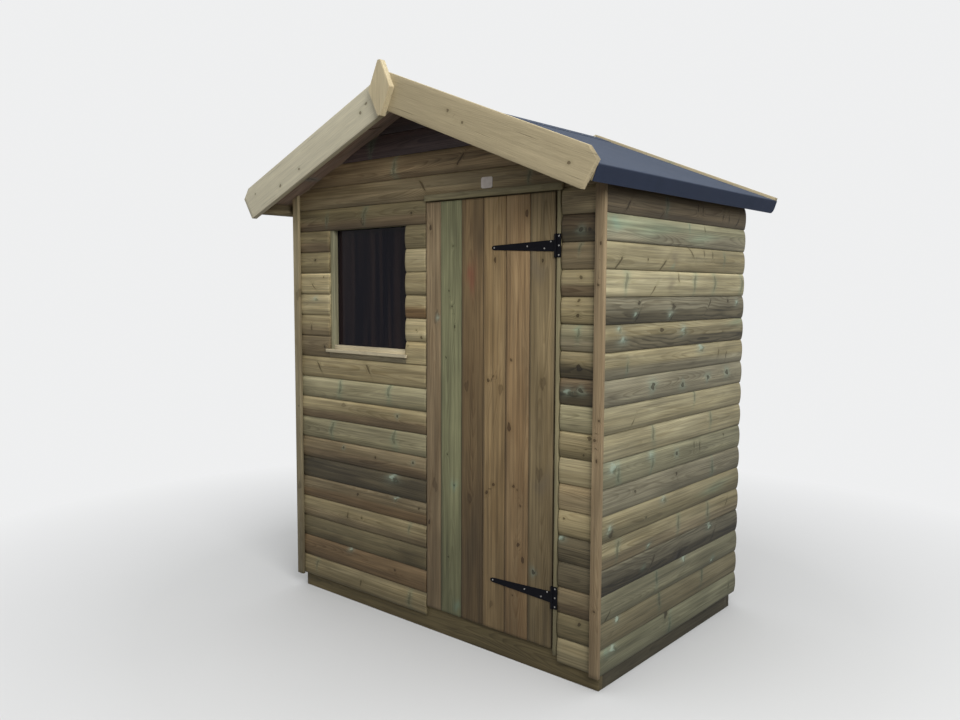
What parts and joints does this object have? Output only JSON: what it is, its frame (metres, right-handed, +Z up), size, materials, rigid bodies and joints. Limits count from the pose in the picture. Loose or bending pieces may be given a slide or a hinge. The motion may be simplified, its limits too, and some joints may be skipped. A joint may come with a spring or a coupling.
{
  "type": "wooden garden shed",
  "caption": "Small apex garden shed in log-lap boards, with a felted roof, a glazed window and a boarded door on tee hinges.",
  "frame": {"origin": "on the ground, at the middle of the whole outline", "axes": "+Z up, -Y out of the gable end with the door, +X to the right of a person facing that end"},
  "size_m": [2.0378, 1.608, 2.4583],
  "materials": {
    "treated_wood": "planed, pressure treated",
    "cladding": "planed log-lap, pressure treated",
    "door_wood": "planed, pressure treated",
    "framing": "sawn, pressure treated",
    "base_wood": "sawn, pressure treated",
    "roof_wood": "planed boards",
    "trim_wood": "planed, pressure treated",
    "felt": "mineral roofing felt",
    "black_metal": "black epoxy",
    "glass": "clear styrene glazing"
  },
  "bodies": {
    "shed": {"back_bargeboard_left": "trim_wood", "back_bargeboard_right": "trim_wood", "back_gable_frame": "framing", "back_rails": "framing", "back_studs": "framing", "back_wall": "cladding", "corner_battens": "treated_wood", "door_head_strip": "treated_wood", "door_jamb_strip": "treated_wood", "eaves_rails": "framing", "felt_left": "felt", "felt_ridge_cap": "felt", "felt_right": "felt", "floor_back_rim": "base_wood", "floor_boards": "base_wood", "floor_joists": "base_wood", "front_bargeboard_left": "trim_wood", "front_bargeboard_right": "trim_wood", "front_finial": "trim_wood", "front_gable": "cladding", "front_gable_frame": "framing", "front_rails": "framing", "front_studs": "framing", "front_wall_below_window": "cladding", "front_wall_left_of_window": "cladding", "front_wall_over_window": "cladding", "front_wall_right_of_door": "cladding", "front_wall_right_of_window": "cladding", "hinge_plates": "black_metal", "left_wall": "cladding", "ridge_purlin": "framing", "right_wall": "cladding", "roof_boards_left": "roof_wood", "roof_boards_right": "roof_wood", "roof_purlins": "framing", "side_plates": "framing", "side_studs": "framing", "threshold_board": "base_wood", "window_beads": "treated_wood", "window_glass": "glass", "window_sill": "treated_wood"},
    "door": {"door_boards": "door_wood", "door_ledges": "door_wood", "door_braces": "door_wood", "hinge_straps": "black_metal"}
  },
  "joints": [
    {"name": "door_hinge", "type": "hinge", "parent": "shed", "child": "door", "pos_m": [0.693, -0.55, 0], "axis": [0, 0, 1], "range_deg": [0, 120]}
  ]
}
